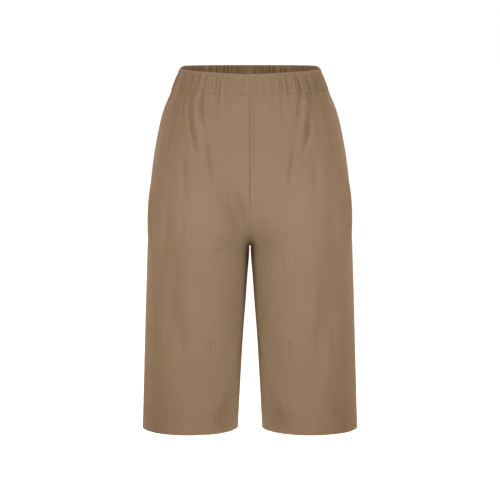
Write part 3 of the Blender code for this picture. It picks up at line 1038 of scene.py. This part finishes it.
def linen(name, dark, light):
    """Plain-weave linen between a dark and a light shade."""
    material, tree, shader = new_material(name)
    cloth = add_node(tree, "ShaderNodeUVMap", {}, uv_map="cloth").outputs["UV"]
    warp = noise_on(tree, cloth, *WARP_STREAK, detail=2.0)
    weft = noise_on(tree, cloth, *WEFT_STREAK, detail=1.0)
    dye = noise_on(tree, cloth, DYE_PATCH, DYE_PATCH, detail=1.0)
    weave = plain_weave(tree, cloth)
    streaks = add_node(tree, "ShaderNodeMix", {0: WEFT_SHARE, 2: warp, 3: weft}).outputs[0]
    tone = add_node(tree, "ShaderNodeMix", {0: DYE_SHARE, 2: streaks, 3: dye}).outputs[0]
    lowest, highest = TONE_RANGE
    tone = add_node(tree, "ShaderNodeMapRange", {"Value": tone, 1: lowest, 2: highest}).outputs[0]
    colour = add_node(tree, "ShaderNodeMix", {0: tone, 6: linear(dark), 7: linear(light)},
                      data_type="RGBA").outputs[2]
    # the weave's painted shade between the threads and painted highlight on their tops
    between, on_top = WEAVE_PAINTED_SHADING
    shade = add_node(tree, "ShaderNodeMapRange", {"Value": weave, 3: between, 4: on_top}).outputs[0]
    colour = add_node(tree, "ShaderNodeVectorMath", {0: colour, "Scale": shade},
                      operation="SCALE").outputs["Vector"]
    rough = add_node(tree, "ShaderNodeBump", {"Height": streaks, "Distance": STREAK_HEIGHT,
                                              "Strength": RELIEF_STRENGTH})
    tooth = add_node(tree, "ShaderNodeBump", {"Height": weave, "Distance": WEAVE_HEIGHT,
                                              "Strength": RELIEF_STRENGTH,
                                              "Normal": rough.outputs["Normal"]})
    set_inputs(tree, shader, {"Base Color": colour, "Normal": tooth.outputs["Normal"],
                              "Roughness": LINEN_ROUGHNESS, "IOR": LINEN_IOR,
                              "Specular IOR Level": LINEN_SPECULAR, "Sheen Weight": BLOOM,
                              "Sheen Tint": linear(BLOOM_COLOUR), "Sheen Roughness": BLOOM_ROUGHNESS})
    return material


panel_linen = linen("camel_linen_plain_weave", CAMEL_DARK, CAMEL_LIGHT)
band_linen = linen("camel_linen_gathered", CAMEL_DARK, CAMEL_LIGHT)
# a browner copy of the linen for the wrong side: painted warm shade for the inside of the band
wrong_side_painted_warm_shade = linen("camel_linen_wrong_side", "#937d60", "#9c8568")
finishes = [(piece, panel_linen) for piece in panels.values()]
finishes += [(piece, band_linen) for piece, _, _ in bands.values()]
for piece, right_side in finishes:
    piece.data.materials.append(right_side)
    piece.data.materials.append(wrong_side_painted_warm_shade)
print("threads per centimetre:", round(0.01 / THREAD_SPACING, 1))

# %% [markdown]
# ## Sewing thread
#
# The thread is spun polyester in the shade of the cloth. It is smoother than linen, so its stitches show
# as a faint line of highlights. Its two plies are twisted, and the twist is drawn as slanting bands
# 2 mm apart, twice as coarse as the real one.

# %% Thread material
TWIST_SCALE = 176.93  # the wave texture then has a slanting band every 2 mm
THREAD_ROUGHNESS = 0.55
THREAD_IOR = 1.57


def sewing_thread(name, dark, light):
    """Twisted polyester yarn between a dark and a light shade."""
    material, tree, shader = new_material(name)
    place = add_node(tree, "ShaderNodeTexCoord", {}).outputs["Object"]
    twist = add_node(tree, "ShaderNodeTexWave", {"Vector": place, "Scale": TWIST_SCALE},
                     wave_type="BANDS", bands_direction="DIAGONAL").outputs["Fac"]
    colour = add_node(tree, "ShaderNodeMix", {0: twist, 6: linear(dark), 7: linear(light)},
                      data_type="RGBA").outputs[2]
    set_inputs(tree, shader, {"Base Color": colour, "Roughness": THREAD_ROUGHNESS, "IOR": THREAD_IOR})
    return material


thread = sewing_thread("camel_polyester_thread", "#89755b", "#9a8267")
for line, _ in stitches:
    line.data.materials.append(thread)
print("thread", round(2000 * THREAD_RADIUS, 2), "mm thick")

# %% [markdown]
# ## Floor and light
#
# A shop hangs such shorts in front of white and lights them evenly from all sides. Four large soft boxes
# stand in the corners of the studio. Small ones close by lift the thighs and shins, one overhead
# catches the top edge of the band, and one on the floor looks up between the legs. The world is what
# the walls give back: a weak, warm light from everywhere, which keeps the shadows in the folds brown.
# It warms the thighs too much, so the boxes beside them are as cool as daylight. The camera should
# still see white behind the shorts, so the Light Path node shows camera rays a brighter, white world.
# The floor is a sheet of white acrylic, lit from inside, well below the hems. It isn't part of the
# shorts, and its own light is kept off the cloth.

# %% Floor and light
FLOOR_HEIGHT = -1.10
FLOOR_REACH = 60.0  # metres from the middle to each edge
FLOOR_GLOW = 1.0
WHITE = "#ffffff"
ACRYLIC = "#f7f7f7"
ACRYLIC_ROUGHNESS = 0.9
FILL_COLOUR = "#ffbc89"  # light that the walls and the cloth itself have passed on
FILL = 0.265  # what the cloth gets from every direction; 1 would be white

signs = ((-1, -1), (1, -1), (1, 1), (-1, 1))
corners = [(x * FLOOR_REACH, y * FLOOR_REACH, FLOOR_HEIGHT) for x, y in signs]
floor_mesh = bpy.data.meshes.new("floor")
floor_mesh.from_pydata(corners, [], [(0, 1, 2, 3)])
floor = place_in_scene("floor", floor_mesh)
floor.visible_diffuse = False
acrylic, acrylic_tree, acrylic_shader = new_material("white_acrylic_lit")
set_inputs(acrylic_tree, acrylic_shader, {"Base Color": linear(ACRYLIC), "Roughness": ACRYLIC_ROUGHNESS,
                                          "Emission Color": linear(WHITE),
                                          "Emission Strength": FLOOR_GLOW})
floor_mesh.materials.append(acrylic)

world = bpy.data.worlds.new("white studio")
bpy.context.scene.world = world
world.use_nodes = True
air = world.node_tree
seen = add_node(air, "ShaderNodeLightPath", {}).outputs["Is Camera Ray"]
strength = add_node(air, "ShaderNodeMapRange", {"Value": seen, 3: FILL, 4: 1.0}).outputs[0]
tint = add_node(air, "ShaderNodeMix", {0: seen, 6: linear(FILL_COLOUR), 7: linear(WHITE)},
                data_type="RGBA").outputs[2]
set_inputs(air, air.nodes["Background"], {"Color": tint, "Strength": strength})
print("floor at", FLOOR_HEIGHT, "m")

# %% Soft boxes
DAYLIGHT = "#dce8ff"
SOFT_BOXES = (
    # name, x, y, z, size in metres, watts in front, watts behind, colour; each row stands in front and
    # behind, and on the left and the right if it isn't on the middle line
    ("", 2.3, 2.3, 0.9, 1.2, 41.5, 44.0, WHITE),
    ("near_", 0.62, 0.62, -0.30, 0.4, 0.70, 0.70, WHITE),
    ("thigh_", 0.30, 0.50, -0.25, 0.25, 0.50, 0.46, DAYLIGHT),
    ("shin_", 0.0, 0.80, -0.50, 0.5, 0.30, 0.30, WHITE),
)
LIT = Vector((0.0, 0.0, -0.25))
lights = []


def face_towards(thing, place, target):
    """Put a light or a camera at a place and point it at a target."""
    thing.location = place
    thing.rotation_euler = (Vector(target) - Vector(place)).to_track_quat("-Z", "Y").to_euler()


def soft_box(name, place, size, power, colour):
    """A square area light that faces the shorts."""
    data = bpy.data.lights.new("soft_box_" + name, "AREA")
    data.shape = "SQUARE"
    data.size = size
    data.energy = power
    data.color = linear(colour)[:3]
    light = place_in_scene(data.name, data)
    light.visible_camera = False
    face_towards(light, place, LIT)
    lights.append(light)


for name, x, y, z, size, in_front, behind, colour in SOFT_BOXES:
    sides = {"_right": -x, "_left": x} if x else {"": x}
    for face, at_y, power in (("front", -y, in_front), ("back", y, behind)):
        for hand, at_x in sides.items():
            soft_box(name + face + hand, (at_x, at_y, z), size, power, colour)
soft_box("above", (0.0, 0.0, 1.6), 1.0, 9.0, WHITE)
soft_box("below", (0.0, 0.0, -1.04), 0.4, 3.6, WHITE)
bpy.context.scene.view_settings.view_transform = "Standard"
print(len(lights), "soft boxes, of", round(sum(light.data.energy for light in lights)), "watts together")

# %% [markdown]
# ## Camera
#
# A long lens from four and a half metres away keeps the legs parallel, where a short one from close by
# would spread them. The camera stands a little above the waist, just enough to look over the front
# edge at the inside of the back band.

# %% Camera
CAMERA_PLACE = (0.0, -4.5, 0.12)
CAMERA_TARGET = (0.0, 0.0, -0.313)
LENS = 178.0
FURTHEST_SEEN = 200.0  # metres, beyond the far edge of the floor

camera_data = bpy.data.cameras.new("camera")
camera_data.lens = LENS
camera_data.clip_end = FURTHEST_SEEN
camera = place_in_scene("camera", camera_data)
face_towards(camera, CAMERA_PLACE, CAMERA_TARGET)
bpy.context.scene.camera = camera
print("camera looks down by", round(90 - math.degrees(camera.rotation_euler.x), 1), "degrees")
